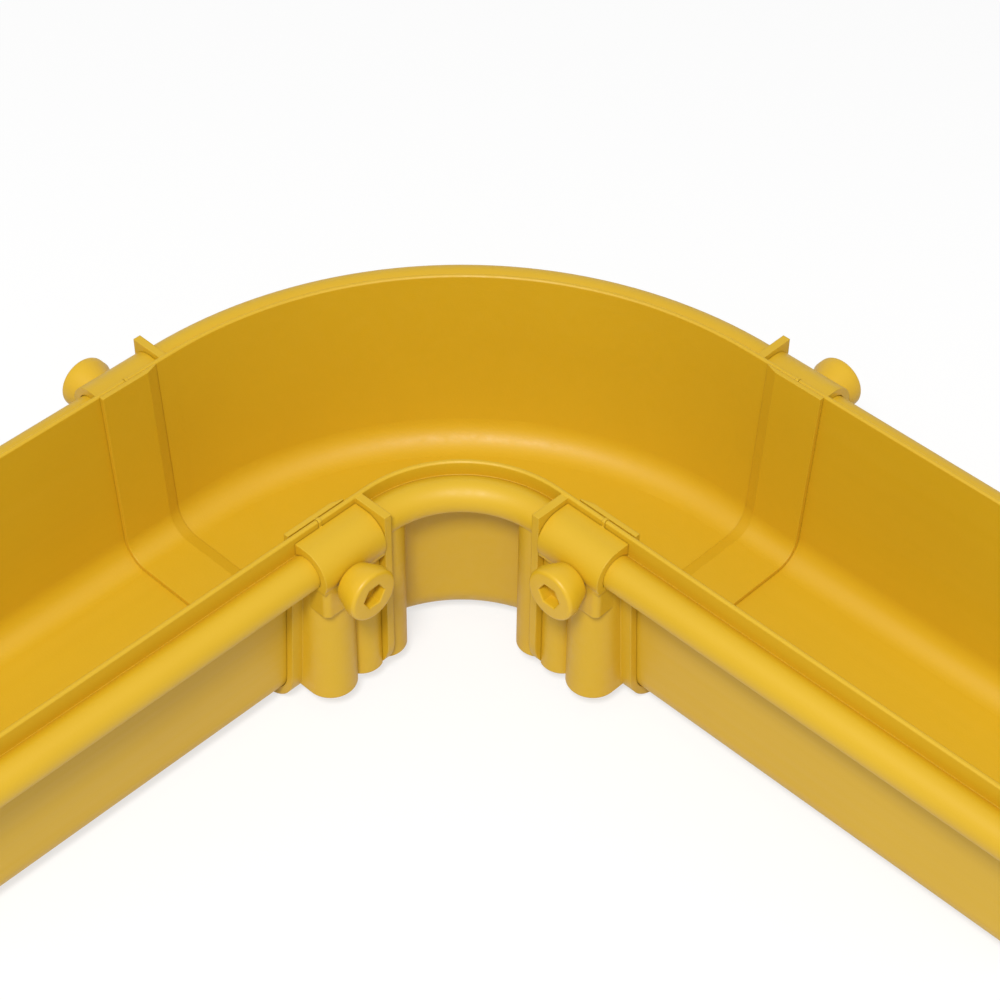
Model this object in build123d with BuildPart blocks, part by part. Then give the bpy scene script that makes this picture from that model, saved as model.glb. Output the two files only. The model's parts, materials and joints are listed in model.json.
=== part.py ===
from build123d import *
import math
import os

# Corner of an open-topped fibre raceway, sizes in millimetres, angles in degrees, +Z up.
# A moulded 90 degree elbow is joined to two straight channels by two U-shaped couplers,
# and each coupler is clamped to the rims by a thumb screw on either side.
# The right-hand leg runs along +X and the left-hand leg along -Y. The origin is at the
# middle of the whole corner's plan, on the plane that the couplers stand on.

# Channel section
CHANNEL_WIDTH = 120.0
CHANNEL_DEPTH = 94.0
WALL = 3.0
WALL_DRAFT = 3.6
CORNER_RADIUS = 13.0
LIP_THICKNESS = 2.2
LIP_CHAMFER = 0.6
RIM_REACH = 16.8
RIM_RADIUS = 8.0
RIM_THICKNESS = 2.5
RIM_CURL = 25.0
RIM_ROLL = 130.0
SHOULDER_DROP = 7.0

# Legs and bend
BEND_RADIUS = 117.0
LEG_END = 245.0
ELBOW_RIM_REACH = 17.6
ELBOW_SHOULDER_DROP = 3.5
ELBOW_RIB_CENTRE = -2.5
ELBOW_RIB_RADIUS = 10.0
FLANGE_START = 3.3
FLANGE_THICKNESS = 3.7
FLANGE_REACH = 19.6
FLANGE_CORNER_RADIUS = 22.0
FLANGE_BOTTOM = 2.0
FLANGE_TOP_DROP = 0.6

# Couplers
COUPLER_LENGTH = 39.0
HOUSING_LENGTH = 33.7
SLEEVE_WALL = 3.5
FIT_CLEARANCE = 0.3
LINER_WALL = 2.2
LINER_LENGTH = 31.0
LINER_TAPER = 6.0
LINER_EDGE = 0.4
STOP_WEB = 1.6
GUIDE_RIB_OFFSET = 4.0
GUIDE_RIB_RADIUS = 10.0
BOSS_OFFSET = 2.2
BOSS_RADIUS = 11.5
RIB_BOTTOM = 10.8
RIM_SKIRT = 1.3
SEAT_REACH = 19.4
SEAT_WIDTH = 27.0
SEAT_CORNER = 3.0
SEAT_DROP = 36.0
SPOT_FACE_MARGIN = 0.5

# Thumb screws
SCREW_DROP = 21.2
STUD_RADIUS = 2.5
STUD_CLEARANCE = 0.1
PLATE_WIDTH = 20.0
PLATE_HEIGHT = 16.0
PLATE_THICKNESS = 2.6
PLATE_GAP = 0.5
PLATE_CLEARANCE = 0.7
PLATE_TRAVEL = 2.0
WASHER_RADIUS = 7.0
WASHER_THICKNESS = 1.2
SEAT_GAP = 0.1
KNOB_RADIUS = 12.0
KNOB_BACK_RADIUS = 9.4
KNOB_LENGTH = 13.0
KNOB_EDGE = 1.6
KNOB_GRIP = 5.0
HEX_ACROSS_FLATS = 10.0
HEX_DEPTH = 5.0
STUD_EMBED = 6.0
EMBED_CLEARANCE = 0.02
BUTT_GAP = 0.2

# Heights
UNDERSIDE = SLEEVE_WALL + FIT_CLEARANCE
FLOOR_TOP = UNDERSIDE + WALL
LIP_TOP = FLOOR_TOP + CHANNEL_DEPTH
CORNER_HEIGHT = FLOOR_TOP + CORNER_RADIUS
SCREW_HEIGHT = LIP_TOP - SCREW_DROP
FLANGE_TOP = LIP_TOP - FLANGE_TOP_DROP
RIM_HEIGHT = LIP_TOP - SHOULDER_DROP - RIM_RADIUS
SEAT_BOTTOM = LIP_TOP - SEAT_DROP

# Distances from the middle of the channel
HALF_WIDTH = CHANNEL_WIDTH / 2
DRAFT = math.radians(WALL_DRAFT)
CORNER_INSET = ((CHANNEL_DEPTH - CORNER_RADIUS) * math.sin(DRAFT) + CORNER_RADIUS) / math.cos(DRAFT)
CORNER_CENTRE = HALF_WIDTH - CORNER_INSET
SLEEVE_OFFSET = FIT_CLEARANCE + SLEEVE_WALL
SLEEVE_FACE = HALF_WIDTH + WALL + SLEEVE_OFFSET
SEAT_FACE = HALF_WIDTH + SEAT_REACH
RIM_ACROSS = HALF_WIDTH + RIM_REACH - RIM_RADIUS
RIM_INSIDE = RIM_ACROSS + (RIM_RADIUS - RIM_THICKNESS) * math.cos(math.radians(RIM_CURL))
PLATE_FACE = RIM_INSIDE - PLATE_GAP
WASHER_BACK = SEAT_FACE + SEAT_GAP
KNOB_BACK = WASHER_BACK + WASHER_THICKNESS + SEAT_GAP
KNOB_FRONT = KNOB_BACK + KNOB_LENGTH
STUD_TIP = HALF_WIDTH + WALL + PLATE_TRAVEL

# Distances along a leg, from the end of the bend
FLANGE_END = FLANGE_START + FLANGE_THICKNESS
COUPLER_START = FLANGE_END + FIT_CLEARANCE
COUPLER_MIDDLE = COUPLER_START + COUPLER_LENGTH / 2
HOUSING_END = COUPLER_START + HOUSING_LENGTH
LINER_START = COUPLER_MIDDLE - LINER_LENGTH / 2
SPIGOT_END = COUPLER_MIDDLE - STOP_WEB / 2 - BUTT_GAP
CHANNEL_START = COUPLER_MIDDLE + STOP_WEB / 2 + BUTT_GAP
OPEN_TOP = LIP_TOP + RIM_REACH

# The bend's centre puts the origin in the middle of the plan
BEND_OFFSET = (LEG_END - BEND_RADIUS - KNOB_FRONT) / 2
BEND_CENTRE = (-BEND_OFFSET, BEND_OFFSET)

RIGHT_LEG = Plane(
    origin=(BEND_CENTRE[0], BEND_CENTRE[1] + BEND_RADIUS, 0), x_dir=(1, 0, 0), z_dir=(0, 0, 1)
)
LEFT_LEG = Plane(
    origin=(BEND_CENTRE[0] - BEND_RADIUS, BEND_CENTRE[1], 0), x_dir=(0, -1, 0), z_dir=(0, 0, 1)
)
LEGS = {"right": RIGHT_LEG, "left": LEFT_LEG}
# The bend lies to the right-hand leg's -Y side and to the left-hand leg's +X side.
OUTER_SIDE = {"right": 1, "left": -1}


def section_plane(leg, along):
    """Plane across a leg, x across the channel and y up, facing away from the bend."""
    return Plane(origin=leg.from_local_coords((along, 0, 0)), x_dir=leg.y_dir, z_dir=leg.x_dir)


def level_plane(leg, height):
    """Horizontal plane of a leg, x along the leg."""
    return Plane(origin=leg.from_local_coords((0, 0, height)), x_dir=leg.x_dir, z_dir=leg.z_dir)


def screw_plane(leg, side, across):
    """Plane square to a thumb screw's axis, facing outwards from the wall."""
    origin = leg.from_local_coords((COUPLER_MIDDLE, side * across, SCREW_HEIGHT))
    return Plane(origin=origin, x_dir=leg.x_dir, z_dir=leg.y_dir * side)


def wall_point(height, gap):
    """Point of a wall's face at a height, a gap outside the inner face. The walls lean in downwards."""
    return (HALF_WIDTH - (LIP_TOP - height) * math.tan(DRAFT) + gap / math.cos(DRAFT), height)


def corner_arc(gap):
    """Round corner between floor and wall, a gap outside the channel's inner faces."""
    return CenterArc((CORNER_CENTRE, CORNER_HEIGHT), CORNER_RADIUS + gap, 270, 90 - WALL_DRAFT)


def roll_foot(rim, roll, across):
    """Height at which a rim, rolled in to an angle and carried on straight, reaches a place across."""
    return (rim @ 1).Y - ((rim @ 1).X - across) * math.tan(math.radians(roll - 90))


def channel_profile(reach, drop):
    """U section with chamfered lips and outer rims that roll out of a valley and curl under."""
    rim_centre = (HALF_WIDTH + reach - RIM_RADIUS, LIP_TOP - drop - RIM_RADIUS)
    lip_face = HALF_WIDTH + LIP_THICKNESS
    with BuildLine() as outline:
        Line((0, UNDERSIDE), (CORNER_CENTRE, UNDERSIDE))
        outer_corner = corner_arc(WALL)
        inside = CenterArc(rim_centre, RIM_RADIUS - RIM_THICKNESS, -RIM_CURL, RIM_ROLL + RIM_CURL)
        outside = CenterArc(rim_centre, RIM_RADIUS, -RIM_CURL, RIM_ROLL + RIM_CURL)
        rim_foot = roll_foot(inside, RIM_ROLL, HALF_WIDTH + WALL)
        Polyline(outer_corner @ 1, wall_point(rim_foot, WALL), inside @ 1)
        Line(inside @ 0, outside @ 0)
        inner_corner = corner_arc(0)
        Polyline(
            outside @ 1,
            (lip_face, roll_foot(outside, RIM_ROLL, lip_face)),
            (lip_face, LIP_TOP - LIP_CHAMFER),
            (lip_face - LIP_CHAMFER, LIP_TOP),
            (HALF_WIDTH + LIP_CHAMFER, LIP_TOP),
            wall_point(LIP_TOP - LIP_CHAMFER, 0),
            inner_corner @ 1,
        )
        Line((CORNER_CENTRE, FLOOR_TOP), (0, FLOOR_TOP))
        mirror(about=Plane.YZ)
    make_face(outline.edges())


def envelope_profile(gap, skirt, roll, edge, *crown):
    """Filled outline of the channel and its rims, grown by a gap. The rims roll in to an angle and run on
    straight to an edge, and the crown's points close the top."""
    with BuildLine() as outline:
        Line((0, UNDERSIDE - gap), (CORNER_CENTRE, UNDERSIDE - gap))
        corner = corner_arc(WALL + gap)
        rim = CenterArc((RIM_ACROSS, RIM_HEIGHT), RIM_RADIUS + gap, -RIM_CURL, roll + RIM_CURL)
        rim_end = rim @ 0
        bottom = rim_end.Y - skirt
        Polyline(corner @ 1, wall_point(bottom, WALL + gap), (rim_end.X, bottom), rim_end)
        Polyline(rim @ 1, (edge, roll_foot(rim, roll, edge)), *crown)
        mirror(about=Plane.YZ)
    make_face(outline.edges())


def trough_profile(inset, top):
    """Filled inside of the channel, drawn in from its faces by an inset."""
    with BuildLine() as outline:
        Line((0, FLOOR_TOP + inset), (CORNER_CENTRE, FLOOR_TOP + inset))
        corner = corner_arc(-inset)
        Polyline(corner @ 1, wall_point(top, -inset), (0, top))
        mirror(about=Plane.YZ)
    make_face(outline.edges())


def flange_profile():
    """Filled outline of the elbow's end flange."""
    reach = HALF_WIDTH + FLANGE_REACH
    corner_across = reach - FLANGE_CORNER_RADIUS
    corner_height = FLANGE_BOTTOM + FLANGE_CORNER_RADIUS
    with BuildLine() as outline:
        Line((0, FLANGE_BOTTOM), (corner_across, FLANGE_BOTTOM))
        CenterArc((corner_across, corner_height), FLANGE_CORNER_RADIUS, 270, 90)
        Polyline((reach, corner_height), (reach, FLANGE_TOP), (0, FLANGE_TOP))
        mirror(about=Plane.YZ)
    make_face(outline.edges())


def round_rib(along, radius, face):
    """Half-round rib outside each wall, drawn from the channel's middle line outwards."""
    for side in (1, -1):
        with Locations((along, side * face)):
            Circle(radius)
        with Locations((along, side * (face + CORNER_CENTRE) / 2)):
            Rectangle(2 * radius, face - CORNER_CENTRE)


os.makedirs("parts", exist_ok=True)

# Stiffeners moulded on the elbow's ends, cut back to the middle of its walls: flanges and half-round ribs
elbow_rib_top = LIP_TOP - ELBOW_SHOULDER_DROP - RIM_RADIUS
bend_axis = Axis((*BEND_CENTRE, 0), (0, 0, 1))
with BuildPart() as stiffeners:
    for leg in LEGS.values():
        with BuildSketch(section_plane(leg, FLANGE_START)):
            flange_profile()
        extrude(amount=FLANGE_THICKNESS)
        with BuildSketch(level_plane(leg, RIB_BOTTOM)):
            round_rib(ELBOW_RIB_CENTRE, ELBOW_RIB_RADIUS, SLEEVE_FACE)
            with Locations((FLANGE_END + ELBOW_RIB_RADIUS, 0)):
                Rectangle(2 * ELBOW_RIB_RADIUS, 4 * HALF_WIDTH, mode=Mode.SUBTRACT)
        extrude(amount=elbow_rib_top - RIB_BOTTOM)
        with BuildSketch(section_plane(leg, 0)):
            trough_profile(-WALL / 2, OPEN_TOP)
        extrude(amount=SPIGOT_END, mode=Mode.SUBTRACT)
    with BuildSketch(section_plane(RIGHT_LEG, 0)):
        trough_profile(-WALL / 2, OPEN_TOP)
    revolve(axis=bend_axis, revolution_arc=90, mode=Mode.SUBTRACT)

# Elbow: bend, end collars, stiffeners and plain spigots that enter the couplers
with BuildPart() as elbow:
    with BuildSketch(section_plane(RIGHT_LEG, 0)):
        channel_profile(ELBOW_RIM_REACH, ELBOW_SHOULDER_DROP)
    revolve(axis=bend_axis, revolution_arc=90)
    for leg in LEGS.values():
        with BuildSketch(section_plane(leg, 0)):
            channel_profile(ELBOW_RIM_REACH, ELBOW_SHOULDER_DROP)
        extrude(amount=FLANGE_END)
        with BuildSketch(section_plane(leg, FLANGE_END)):
            channel_profile(RIM_REACH, SHOULDER_DROP)
        extrude(amount=SPIGOT_END - FLANGE_END)
    add(stiffeners.part)
elbow.part.label = "elbow"
export_step(elbow.part, "parts/elbow.step")

# Straight channels
for name, leg in LEGS.items():
    with BuildPart() as channel:
        with BuildSketch(section_plane(leg, CHANNEL_START)):
            channel_profile(RIM_REACH, SHOULDER_DROP)
        extrude(amount=LEG_END - CHANNEL_START)
    channel.part.label = f"channel_{name}"
    export_step(channel.part, f"parts/channel_{name}.step")

# Couplers: an outer sleeve with rim housings, ribs and screw seats, an inner liner that tapers
# towards the bend, and a stop web that joins the two
slot_edge = HALF_WIDTH + LIP_THICKNESS + FIT_CLEARANCE
slot_crown = [(slot_edge, OPEN_TOP), (0, OPEN_TOP)]
pocket_height = PLATE_HEIGHT + 2 * PLATE_CLEARANCE
pocket_back = wall_point(SCREW_HEIGHT - pocket_height / 2, WALL + FIT_CLEARANCE)[0]
for name, leg in LEGS.items():
    with BuildPart() as coupler:
        with BuildSketch(section_plane(leg, COUPLER_START)):
            envelope_profile(SLEEVE_OFFSET, RIM_SKIRT, 90, 0)
        extrude(amount=HOUSING_LENGTH)
        with BuildSketch(section_plane(leg, HOUSING_END)):
            trough_profile(-WALL - SLEEVE_OFFSET, RIM_HEIGHT)
        extrude(amount=COUPLER_LENGTH - HOUSING_LENGTH)
        with BuildSketch(level_plane(leg, RIB_BOTTOM)):
            round_rib(COUPLER_START + GUIDE_RIB_OFFSET, GUIDE_RIB_RADIUS, SLEEVE_FACE)
            round_rib(COUPLER_MIDDLE + BOSS_OFFSET, BOSS_RADIUS, SLEEVE_FACE)
            with Locations((COUPLER_START - GUIDE_RIB_RADIUS, 0)):
                Rectangle(2 * GUIDE_RIB_RADIUS, 4 * HALF_WIDTH, mode=Mode.SUBTRACT)
        extrude(amount=RIM_HEIGHT - RIB_BOTTOM)
        with BuildSketch(level_plane(leg, SEAT_BOTTOM)):
            for side in (1, -1):
                with Locations((COUPLER_MIDDLE, side * (SEAT_FACE + HALF_WIDTH) / 2)):
                    RectangleRounded(SEAT_WIDTH, SEAT_FACE - HALF_WIDTH, SEAT_CORNER)
        extrude(amount=RIM_HEIGHT - SEAT_BOTTOM)
        with BuildSketch(section_plane(leg, COUPLER_START)):
            envelope_profile(FIT_CLEARANCE, FIT_CLEARANCE, RIM_ROLL, slot_edge, *slot_crown)
        extrude(amount=COUPLER_LENGTH, mode=Mode.SUBTRACT)
        with BuildSketch(section_plane(leg, LINER_START)):
            trough_profile(FIT_CLEARANCE, LIP_TOP)
        extrude(amount=LINER_LENGTH)
        with BuildSketch(section_plane(leg, COUPLER_MIDDLE - STOP_WEB / 2)):
            channel_profile(RIM_REACH, SHOULDER_DROP)
            offset(amount=FIT_CLEARANCE, kind=Kind.INTERSECTION)
        extrude(amount=STOP_WEB)
        with BuildSketch(section_plane(leg, LINER_START)):
            trough_profile(FIT_CLEARANCE + LINER_WALL, OPEN_TOP)
        extrude(amount=LINER_LENGTH, mode=Mode.SUBTRACT)
        for along, edge in ((LINER_START, LINER_EDGE), (LINER_START + LINER_TAPER, LINER_WALL)):
            with BuildSketch(section_plane(leg, along)):
                trough_profile(FIT_CLEARANCE + edge, OPEN_TOP)
        loft(mode=Mode.SUBTRACT)
        for side in (1, -1):
            with BuildSketch(screw_plane(leg, side, pocket_back)):
                Rectangle(PLATE_WIDTH + 2 * PLATE_CLEARANCE, pocket_height)
            extrude(amount=PLATE_FACE + PLATE_CLEARANCE - pocket_back, mode=Mode.SUBTRACT)
            with BuildSketch(screw_plane(leg, side, HALF_WIDTH + WALL)):
                Circle(STUD_RADIUS + STUD_CLEARANCE)
            extrude(amount=SEAT_FACE - HALF_WIDTH, mode=Mode.SUBTRACT)
            with BuildSketch(screw_plane(leg, side, SEAT_FACE)):
                Circle(WASHER_RADIUS + SPOT_FACE_MARGIN)
            extrude(amount=KNOB_LENGTH, mode=Mode.SUBTRACT)
    coupler.part.label = f"coupler_{name}"
    export_step(coupler.part, f"parts/coupler_{name}.step")

# Thumb screws: a knob moulded on a steel stud, a washer, and the plate that grips behind the rim
for name, leg in LEGS.items():
    for place, side in (("outer", OUTER_SIDE[name]), ("inner", -OUTER_SIDE[name])):
        with BuildPart() as knob:
            axis_plane = screw_plane(leg, side, KNOB_BACK)
            profile_plane = Plane(origin=axis_plane.origin, x_dir=axis_plane.x_dir, z_dir=-axis_plane.y_dir)
            with BuildSketch(profile_plane):
                with BuildLine():
                    Polyline(
                        (0, 0),
                        (KNOB_BACK_RADIUS - KNOB_EDGE, 0),
                        (KNOB_BACK_RADIUS, KNOB_EDGE),
                        (KNOB_RADIUS, KNOB_LENGTH - KNOB_GRIP),
                        (KNOB_RADIUS, KNOB_LENGTH - KNOB_EDGE),
                        (KNOB_RADIUS - KNOB_EDGE, KNOB_LENGTH),
                        (0, KNOB_LENGTH),
                        close=True,
                    )
                make_face()
            revolve(axis=Axis(axis_plane.origin, axis_plane.z_dir))
            with BuildSketch(screw_plane(leg, side, KNOB_FRONT)):
                RegularPolygon(HEX_ACROSS_FLATS / 2, 6, major_radius=False)
            extrude(amount=-HEX_DEPTH, mode=Mode.SUBTRACT)
            with BuildSketch(axis_plane):
                Circle(STUD_RADIUS + EMBED_CLEARANCE)
            extrude(amount=STUD_EMBED, mode=Mode.SUBTRACT)
        knob.part.label = f"knob_{name}_{place}"
        export_step(knob.part, f"parts/knob_{name}_{place}.step")

        with BuildPart() as stud:
            with BuildSketch(screw_plane(leg, side, STUD_TIP)):
                Circle(STUD_RADIUS)
            extrude(amount=KNOB_BACK + STUD_EMBED - STUD_TIP)
        stud.part.label = f"stud_{name}_{place}"
        export_step(stud.part, f"parts/stud_{name}_{place}.step")

        with BuildPart() as washer:
            with BuildSketch(screw_plane(leg, side, WASHER_BACK)):
                Circle(WASHER_RADIUS)
                Circle(STUD_RADIUS + STUD_CLEARANCE, mode=Mode.SUBTRACT)
            extrude(amount=WASHER_THICKNESS)
        washer.part.label = f"washer_{name}_{place}"
        export_step(washer.part, f"parts/washer_{name}_{place}.step")

        with BuildPart() as clamp_plate:
            with BuildSketch(screw_plane(leg, side, PLATE_FACE)):
                Rectangle(PLATE_WIDTH, PLATE_HEIGHT)
                Circle(STUD_RADIUS + STUD_CLEARANCE, mode=Mode.SUBTRACT)
            extrude(amount=-PLATE_THICKNESS)
        clamp_plate.part.label = f"clamp_plate_{name}_{place}"
        export_step(clamp_plate.part, f"parts/clamp_plate_{name}_{place}.step")
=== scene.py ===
import json
import math

import bmesh
import bpy
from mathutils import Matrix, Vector


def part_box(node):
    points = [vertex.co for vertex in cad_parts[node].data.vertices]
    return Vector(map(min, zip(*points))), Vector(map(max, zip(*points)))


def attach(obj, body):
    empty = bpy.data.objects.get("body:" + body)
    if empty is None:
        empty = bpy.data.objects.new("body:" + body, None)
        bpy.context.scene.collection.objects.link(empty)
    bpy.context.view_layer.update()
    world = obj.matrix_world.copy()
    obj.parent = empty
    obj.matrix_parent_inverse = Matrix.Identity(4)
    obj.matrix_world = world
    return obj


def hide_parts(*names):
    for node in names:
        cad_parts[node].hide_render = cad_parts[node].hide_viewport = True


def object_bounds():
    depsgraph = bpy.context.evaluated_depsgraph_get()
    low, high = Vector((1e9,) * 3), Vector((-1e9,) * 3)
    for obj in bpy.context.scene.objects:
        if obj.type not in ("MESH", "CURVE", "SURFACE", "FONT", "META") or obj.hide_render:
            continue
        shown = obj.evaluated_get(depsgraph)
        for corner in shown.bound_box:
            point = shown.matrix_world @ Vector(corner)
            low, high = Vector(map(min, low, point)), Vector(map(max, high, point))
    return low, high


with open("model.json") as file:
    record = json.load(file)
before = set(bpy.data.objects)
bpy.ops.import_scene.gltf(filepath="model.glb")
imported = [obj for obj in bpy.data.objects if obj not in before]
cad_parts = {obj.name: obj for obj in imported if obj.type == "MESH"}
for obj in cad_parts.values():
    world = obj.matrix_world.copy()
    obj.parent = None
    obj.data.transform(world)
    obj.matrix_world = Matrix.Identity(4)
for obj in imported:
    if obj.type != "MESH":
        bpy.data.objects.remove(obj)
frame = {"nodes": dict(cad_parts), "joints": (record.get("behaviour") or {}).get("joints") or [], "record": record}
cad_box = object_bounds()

# Viewing angle and framing, fitted to the photograph. The view looks down into the inside of the bend.
# Lengths are in metres here and below, unless a name says otherwise.
BEND_RADIUS = 0.117
VIEW_DISTANCE = 1.070
VIEW_ELEVATION = math.radians(44.083)
TARGET_BEHIND_BEND_CENTRE = 0.032
VIEW_REACH = 20.0
LENS_MM = 93.88
SENSOR_MM = 36.0
FRAME_SHIFT_X = 0.0383

# Colours, linear
YELLOW = (0.635, 0.389, 0.010, 1.0)
YELLOW_DEEP = (0.595, 0.353, 0.008, 1.0)
# Lighter yellow for sharp edges: partly rubbed wear, partly a painted highlight
YELLOW_EDGE = (0.760, 0.480, 0.028, 1.0)
KNOB_YELLOW = (0.675, 0.410, 0.011, 1.0)
KNOB_DEEP = (0.625, 0.366, 0.008, 1.0)
ZINC = (0.560, 0.570, 0.590, 1.0)
ZINC_DULL = (0.400, 0.410, 0.430, 1.0)
FLOOR_PALE = (0.980, 0.980, 0.980, 1.0)
FLOOR_BOUNCE = (0.700, 0.700, 0.700, 1.0)
WHITE = (1.0, 1.0, 1.0, 1.0)

# Light, at a level where a colour renders about as it is written: an even sky, and one soft lamp above the
# camera and a little to its left, in watts
AMBIENT = 0.47
KEY_POWER = 57.0
KEY_SIZE = 0.50
KEY_DISTANCE = 2.6
KEY_ELEVATION = math.radians(54)
KEY_LEFT = math.radians(9)

# How much of the floor is plain white to the eye. The rest takes the light, and with it the shadow.
FLOOR_GLOW = 0.68
FLOOR_SIZE = 6.0

# Noise in the plastic: cells to the metre and layers of finer detail, and the stretch of values that counts
CLOUD_NOISE = (9.0, 3.0)
CLOUD_BAND = (0.35, 0.65)
MOULDED_FLOW = (40.0, 3.0)
KNOB_FLOW = (90.0, 3.0)
EXTRUDED_FLOW = (160.0, 3.0)
FLOW_BAND = (0.40, 0.70)
GRAIN_NOISE = (900.0, 5.0)
SCUFF_NOISE = (240.0, 6.0)
SCUFF_BAND = (0.35, 0.70)

# Scale of the noise along each axis. A small number draws it out that way.
EVEN = (1, 1, 1)
ALONG_X = (0.02, 1, 1)
ALONG_Y = (1, 0.02, 1)

# Plastic: how far each of its marks goes, its gloss, and the depth of its grain
CLOUD_SHARE = 0.50
FLOW_SHARE = 0.22
# How much lighter the sharp edges get, as rubbed wear and painted highlight, and over which band of the edge mask
EDGE_SHARE = 0.60
EDGE_BAND = (0.995, 0.80)
PLASTIC_EDGE = 0.0006
PLASTIC_IOR = 1.49
RACEWAY_ROUGHNESS = 0.50
KNOB_ROUGHNESS = 0.46
SCUFF_SMOOTHER = 0.04
SCUFF_ROUGHER = 0.06
GRAIN_STRENGTH = 0.25
GRAIN_DEPTH = 0.0002

# Zinc plating: dull patches, gloss, and a spangle in cells to the metre
DULL_NOISE = (350.0, 5.0)
DULL_TINT_BAND = (0.35, 0.70)
DULL_GLOSS_BAND = (0.30, 0.70)
DULL_SHARE = 0.80
ZINC_ROUGHNESS = (0.24, 0.42)
ZINC_EDGE = 0.0003
SPANGLE_SCALE = 900.0
SPANGLE_STRENGTH = 0.10
SPANGLE_DEPTH = 0.0001

BEVEL_SAMPLES = 6

# Sockets of the mix node for colours, which shares its names with the mix for numbers
MIX_FIRST = 6
MIX_SECOND = 7
MIX_RESULT = 2

# Thumb knobs: the solids' size and hexagonal socket, with rounded edges
KNOB_TURNS = 72
KNOB_BACK_SHARE = 0.783
KNOB_GRIP = 0.005
KNOB_ROUND = 0.0016
KNOB_FRONT_STEPS = 6
KNOB_BACK_STEPS = 5
KNOB_SHARP = math.radians(32)
SOCKET_SIDE = math.pi / 3
SOCKET_APOTHEM = 0.005
SOCKET_DEPTH = 0.005
SOCKET_CHAMFER = 0.0003
STUD_HOLE = 0.00252
STUD_HOLE_DEPTH = 0.006


def new_material(name):
    """Empty node material, with its nodes and links."""
    material = bpy.data.materials.new(name)
    material.use_nodes = True
    material.node_tree.nodes.clear()
    return material, material.node_tree.nodes, material.node_tree.links


def noise(nodes, links, coordinates, kind, stretch=EVEN):
    """Noise over the object's own coordinates, with an optional stretch along its axes."""
    scale, detail = kind
    mapping = nodes.new("ShaderNodeMapping")
    mapping.inputs["Scale"].default_value = stretch
    links.new(coordinates, mapping.inputs["Vector"])
    texture = nodes.new("ShaderNodeTexNoise")
    texture.inputs["Scale"].default_value = scale
    texture.inputs["Detail"].default_value = detail
    links.new(mapping.outputs["Vector"], texture.inputs["Vector"])
    return texture.outputs["Fac"]


def remap(nodes, links, value, band, result):
    """Linear remap of a band of values, clamped at both ends."""
    node = nodes.new("ShaderNodeMapRange")
    node.inputs["From Min"].default_value, node.inputs["From Max"].default_value = band
    node.inputs["To Min"].default_value, node.inputs["To Max"].default_value = result
    links.new(value, node.inputs["Value"])
    return node.outputs["Result"]


def mix_colours(nodes, links, factor, first, second):
    """Mix of two colours. Either may be a plain colour or another node's output."""
    node = nodes.new("ShaderNodeMix")
    node.data_type = "RGBA"
    links.new(factor, node.inputs["Factor"])
    for index, colour in ((MIX_FIRST, first), (MIX_SECOND, second)):
        if isinstance(colour, tuple):
            node.inputs[index].default_value = colour
        else:
            links.new(colour, node.inputs[index])
    return node.outputs[MIX_RESULT]


def mix_shaders(nodes, links, factor, first, second):
    """Mix of two shaders, by a plain number or another node's output."""
    node = nodes.new("ShaderNodeMixShader")
    share, first_socket, second_socket = node.inputs
    if isinstance(factor, float):
        share.default_value = factor
    else:
        links.new(factor, share)
    links.new(first, first_socket)
    links.new(second, second_socket)
    return node.outputs["Shader"]


def rounded_normal(nodes, radius):
    """Normal of the surface with its edges rounded off."""
    bevel = nodes.new("ShaderNodeBevel")
    bevel.samples = BEVEL_SAMPLES
    bevel.inputs["Radius"].default_value = radius
    return bevel.outputs["Normal"]


def edge_wear_and_highlight(nodes, links, rounded):
    """Full share on sharp edges and 0 elsewhere, from how far the rounded normal leaves the true one: the mask for
    rubbed wear and a painted highlight along the edges.
    """
    geometry = nodes.new("ShaderNodeNewGeometry")
    dot = nodes.new("ShaderNodeVectorMath")
    dot.operation = "DOT_PRODUCT"
    links.new(rounded, dot.inputs[0])
    links.new(geometry.outputs["Normal"], dot.inputs[1])
    return remap(nodes, links, dot.outputs["Value"], EDGE_BAND, (0.0, EDGE_SHARE))


def bumped(nodes, links, height, strength, depth, rounded):
    """Fine bumps on top of the rounded normal."""
    bump = nodes.new("ShaderNodeBump")
    bump.inputs["Strength"].default_value = strength
    bump.inputs["Distance"].default_value = depth
    links.new(height, bump.inputs["Height"])
    links.new(rounded, bump.inputs["Normal"])
    return bump.outputs["Normal"]


def surface(nodes, links, tint, roughness, normal):
    """Principled shader from a colour, a roughness and a normal, joined to the material's output."""
    shader = nodes.new("ShaderNodeBsdfPrincipled")
    links.new(tint, shader.inputs["Base Color"])
    links.new(roughness, shader.inputs["Roughness"])
    links.new(normal, shader.inputs["Normal"])
    output = nodes.new("ShaderNodeOutputMaterial")
    links.new(shader.outputs["BSDF"], output.inputs["Surface"])
    return shader


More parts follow.
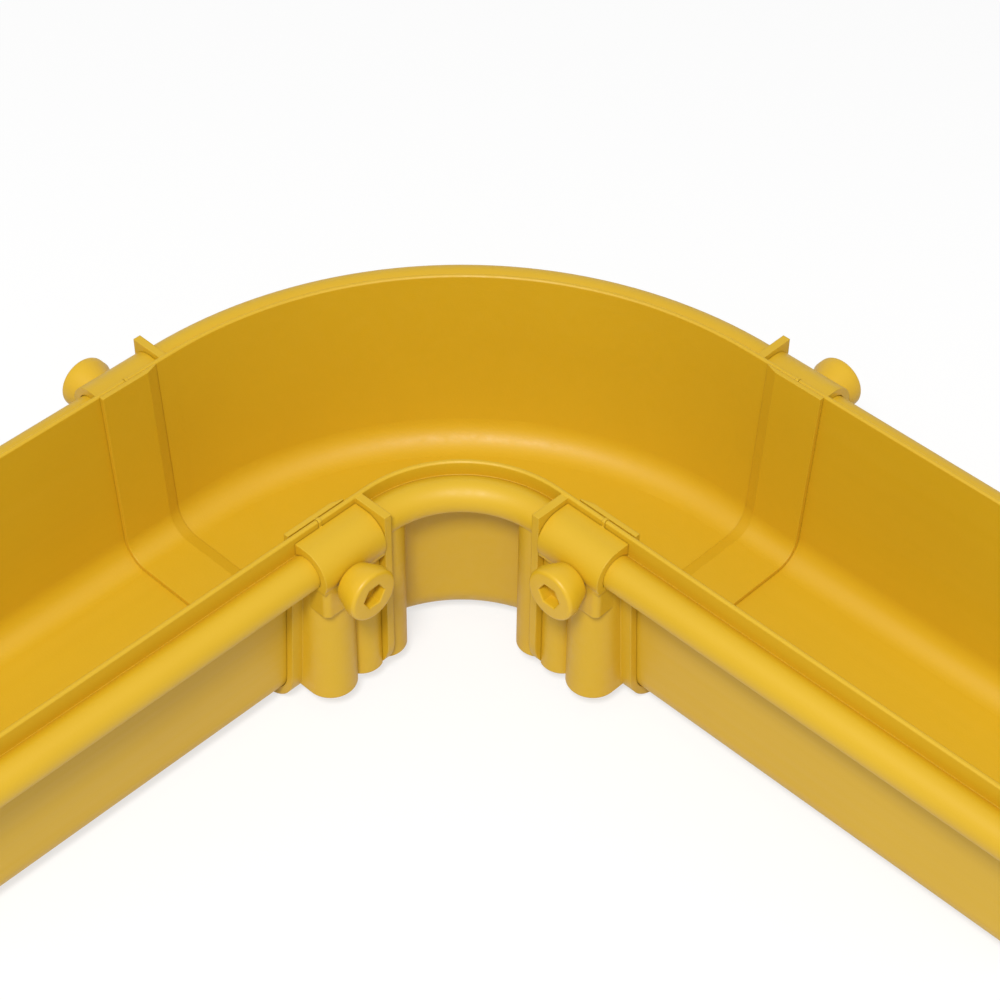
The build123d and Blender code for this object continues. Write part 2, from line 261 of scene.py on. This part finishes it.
def satin_plastic(name, colour, deep, roughness, flow_noise, stretch):
    """Satin yellow plastic: fine grain, flow marks along the way it was formed, and edges lighter as burnished
    wear and as a painted highlight.
    """
    material, nodes, links = new_material(name)
    coordinates = nodes.new("ShaderNodeTexCoord").outputs["Object"]
    cloud = noise(nodes, links, coordinates, CLOUD_NOISE)
    flow = noise(nodes, links, coordinates, flow_noise, stretch)
    grain = noise(nodes, links, coordinates, GRAIN_NOISE)
    scuff = noise(nodes, links, coordinates, SCUFF_NOISE, stretch)
    rounded = rounded_normal(nodes, PLASTIC_EDGE)

    cloudy = remap(nodes, links, cloud, CLOUD_BAND, (0.0, CLOUD_SHARE))
    streaky = remap(nodes, links, flow, FLOW_BAND, (0.0, FLOW_SHARE))
    tint = mix_colours(nodes, links, cloudy, colour, deep)
    tint = mix_colours(nodes, links, streaky, tint, deep)
    # Sharp edges lightened: partly rubbed wear, partly a painted highlight on the edges
    tint = mix_colours(nodes, links, edge_wear_and_highlight(nodes, links, rounded), tint, YELLOW_EDGE)

    satin = (roughness - SCUFF_SMOOTHER, roughness + SCUFF_ROUGHER)
    scuffed = remap(nodes, links, scuff, SCUFF_BAND, satin)
    normal = bumped(nodes, links, grain, GRAIN_STRENGTH, GRAIN_DEPTH, rounded)
    shader = surface(nodes, links, tint, scuffed, normal)
    shader.inputs["IOR"].default_value = PLASTIC_IOR
    return material


def zinc_steel(name):
    """Bright zinc-plated steel with a fine spangle and dull patches."""
    material, nodes, links = new_material(name)
    coordinates = nodes.new("ShaderNodeTexCoord").outputs["Object"]
    spangle = nodes.new("ShaderNodeTexVoronoi")
    spangle.inputs["Scale"].default_value = SPANGLE_SCALE
    links.new(coordinates, spangle.inputs["Vector"])
    dull = noise(nodes, links, coordinates, DULL_NOISE)
    rounded = rounded_normal(nodes, ZINC_EDGE)

    patches = remap(nodes, links, dull, DULL_TINT_BAND, (0.0, DULL_SHARE))
    tint = mix_colours(nodes, links, patches, ZINC, ZINC_DULL)
    roughness = remap(nodes, links, dull, DULL_GLOSS_BAND, ZINC_ROUGHNESS)
    normal = bumped(nodes, links, spangle.outputs["Distance"], SPANGLE_STRENGTH, SPANGLE_DEPTH, rounded)
    shader = surface(nodes, links, tint, roughness, normal)
    shader.inputs["Metallic"].default_value = 1.0
    return material


def direct_ray(nodes, links):
    """1 for camera, glossy and transmission rays, which see the white background, and 0 for the rest."""
    light_path = nodes.new("ShaderNodeLightPath")
    total = light_path.outputs["Is Camera Ray"]
    for kind in ("Is Glossy Ray", "Is Transmission Ray"):
        either = nodes.new("ShaderNodeMath")
        either.operation = "MAXIMUM"
        links.new(total, either.inputs[0])
        links.new(light_path.outputs[kind], either.inputs[1])
        total = either.outputs["Value"]
    return total


def build_world():
    """White to the camera, a plain soft level of light to everything else."""
    world = bpy.data.worlds.new("studio")
    bpy.context.scene.world = world
    world.use_nodes = True
    nodes, links = world.node_tree.nodes, world.node_tree.links
    nodes.clear()
    shown = nodes.new("ShaderNodeBackground")
    shown.inputs["Color"].default_value = WHITE
    light = nodes.new("ShaderNodeBackground")
    light.inputs["Color"].default_value = WHITE
    light.inputs["Strength"].default_value = AMBIENT
    mixed = mix_shaders(
        nodes, links, direct_ray(nodes, links), light.outputs["Background"], shown.outputs["Background"]
    )
    output = nodes.new("ShaderNodeOutputWorld")
    links.new(mixed, output.inputs["Surface"])


def build_floor():
    """Plain pale floor that goes over into the white background and keeps a soft shadow."""
    bpy.ops.mesh.primitive_plane_add(size=FLOOR_SIZE, location=(0, 0, cad_box[0][2]))
    floor = bpy.context.object
    floor.name = "floor"
    material, nodes, links = new_material("floor_pale")
    pale = nodes.new("ShaderNodeBsdfDiffuse")
    pale.inputs["Color"].default_value = FLOOR_PALE
    bounce = nodes.new("ShaderNodeBsdfDiffuse")
    bounce.inputs["Color"].default_value = FLOOR_BOUNCE
    glow = nodes.new("ShaderNodeEmission")
    glow.inputs["Color"].default_value = WHITE
    shown = mix_shaders(nodes, links, FLOOR_GLOW, pale.outputs["BSDF"], glow.outputs["Emission"])
    mixed = mix_shaders(nodes, links, direct_ray(nodes, links), bounce.outputs["BSDF"], shown)
    output = nodes.new("ShaderNodeOutputMaterial")
    links.new(mixed, output.inputs["Surface"])
    floor.data.materials.append(material)


def view_point(right, back, up):
    """Point of the frame to the right of, behind and above the bend's centre, as the camera sees it."""
    low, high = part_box("coupler_right")
    centre_line = (low.y + high.y) / 2
    bend = centre_line - BEND_RADIUS
    slant = math.sqrt(0.5)
    return Vector((-bend + slant * (right - back), bend + slant * (right + back), up))


def aim(item, target):
    """Turns a camera or a lamp at a point."""
    item.rotation_euler = (target - item.location).to_track_quat("-Z", "Y").to_euler()


def build_camera(target, lip_top):
    """Camera in front of the inside of the bend, at the photograph's angle."""
    camera_data = bpy.data.cameras.new("camera")
    camera = bpy.data.objects.new("camera", camera_data)
    bpy.context.scene.collection.objects.link(camera)
    camera.location = view_point(
        0,
        TARGET_BEHIND_BEND_CENTRE - VIEW_DISTANCE * math.cos(VIEW_ELEVATION),
        lip_top + VIEW_DISTANCE * math.sin(VIEW_ELEVATION),
    )
    aim(camera, target)
    camera_data.sensor_width = SENSOR_MM
    camera_data.lens = LENS_MM
    camera_data.shift_x = FRAME_SHIFT_X
    camera_data.clip_end = VIEW_REACH
    bpy.context.scene.camera = camera


def build_key(target, lip_top):
    """Soft square lamp on the camera's side."""
    lamp_data = bpy.data.lights.new("key", "AREA")
    lamp_data.size = KEY_SIZE
    lamp_data.energy = KEY_POWER
    lamp = bpy.data.objects.new("key", lamp_data)
    bpy.context.scene.collection.objects.link(lamp)
    reach = KEY_DISTANCE * math.cos(KEY_ELEVATION)
    lamp.location = view_point(
        -reach * math.sin(KEY_LEFT),
        TARGET_BEHIND_BEND_CENTRE - reach * math.cos(KEY_LEFT),
        lip_top + KEY_DISTANCE * math.sin(KEY_ELEVATION),
    )
    aim(lamp, target)


def arc_points(centre_radius, centre_along, start, stop, count):
    """Points of a rounded edge in a knob's profile, as pairs of radius and place along the axis."""
    turns = [math.radians(start + (stop - start) * step / count) for step in range(count + 1)]
    return [
        (centre_radius + KNOB_ROUND * math.cos(turn), centre_along + KNOB_ROUND * math.sin(turn))
        for turn in turns
    ]


def knob_rings(radius, length):
    """Rings of a knob from its stud hole over the back, the grip and the front into the socket."""
    hole = [(STUD_HOLE, STUD_HOLE_DEPTH), (STUD_HOLE, 0)]
    back_round = arc_points(radius * KNOB_BACK_SHARE - KNOB_ROUND, KNOB_ROUND, -90, 0, KNOB_BACK_STEPS)
    waist = [(radius, length - KNOB_GRIP)]
    front_round = arc_points(radius - KNOB_ROUND, length - KNOB_ROUND, 0, 90, KNOB_FRONT_STEPS)
    turns = [2 * math.pi * step / KNOB_TURNS for step in range(KNOB_TURNS)]
    rings = [
        [(turn, ring_radius, along) for turn in turns]
        for ring_radius, along in hole + back_round + waist + front_round
    ]
    for apothem, along in (
        (SOCKET_APOTHEM + SOCKET_CHAMFER, length),
        (SOCKET_APOTHEM, length - SOCKET_CHAMFER),
        (SOCKET_APOTHEM, length - SOCKET_DEPTH),
    ):
        rings.append([
            (turn, apothem / math.cos(turn % SOCKET_SIDE - SOCKET_SIDE / 2), along) for turn in turns
        ])
    return rings


def build_knob(place, outward, material):
    """Thumb knob with rounded edges, turned about the screw's axis in the space of its solid."""
    low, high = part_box(f"knob_{place}")
    size = high - low
    axis = Vector(outward)
    length = abs(size.dot(axis))
    radius = size.z / 2
    across = Vector((axis.y, -axis.x, 0)).normalized()
    foot = (low + high) / 2 - axis * length / 2
    up = Vector((0, 0, 1))
    mesh = bmesh.new()
    loops = []
    for ring in knob_rings(radius, length):
        loops.append([
            mesh.verts.new(
                foot + axis * along + (across * math.cos(turn) + up * math.sin(turn)) * ring_radius
            )
            for turn, ring_radius, along in ring
        ])
    for lower, upper in zip(loops, loops[1:]):
        for step in range(KNOB_TURNS):
            after = (step + 1) % KNOB_TURNS
            mesh.faces.new((lower[step], lower[after], upper[after], upper[step]))
    mesh.faces.new(loops[0])
    mesh.faces.new(loops[-1])
    bmesh.ops.recalc_face_normals(mesh, faces=mesh.faces)
    for face in mesh.faces:
        face.smooth = True
    for edge in mesh.edges:
        edge.smooth = edge.calc_face_angle() < KNOB_SHARP
    data = bpy.data.meshes.new(f"thumb_knob_{place}")
    mesh.to_mesh(data)
    mesh.free()
    data.materials.append(material)
    knob = bpy.data.objects.new(f"thumb_knob_{place}", data)
    bpy.context.scene.collection.objects.link(knob)
    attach(knob, f"thumb_screw_{place}")
    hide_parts(f"knob_{place}")


def dress(node, material):
    """Gives a CAD node its material."""
    slots = frame["nodes"][node].data.materials
    slots.clear()
    slots.append(material)


materials = {
    "raceway_plastic": satin_plastic(
        "raceway_plastic", YELLOW, YELLOW_DEEP, RACEWAY_ROUGHNESS, MOULDED_FLOW, EVEN
    ),
    "knob_plastic": satin_plastic("knob_plastic", KNOB_YELLOW, KNOB_DEEP, KNOB_ROUGHNESS, KNOB_FLOW, EVEN),
    "zinc_steel": zinc_steel("zinc_steel"),
}
for part in frame["record"]["subparts"]:
    dress(part["node"], materials[part["material_slot"]])
# The straight channels are extruded, so their flow marks run along them.
for node, along in (("channel_right", ALONG_X), ("channel_left", ALONG_Y)):
    dress(
        node,
        satin_plastic(f"{node}_plastic", YELLOW, YELLOW_DEEP, RACEWAY_ROUGHNESS, EXTRUDED_FLOW, along),
    )

lip_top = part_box("channel_right")[1].z
target = view_point(0, TARGET_BEHIND_BEND_CENTRE, lip_top)
build_world()
build_floor()
build_camera(target, lip_top)
build_key(target, lip_top)
for joint in frame["joints"]:
    if joint["type"] == "hinge":
        build_knob(joint["name"].removeprefix("turn_"), joint["axis"], materials["knob_plastic"])
bpy.context.scene.view_settings.view_transform = "Standard"
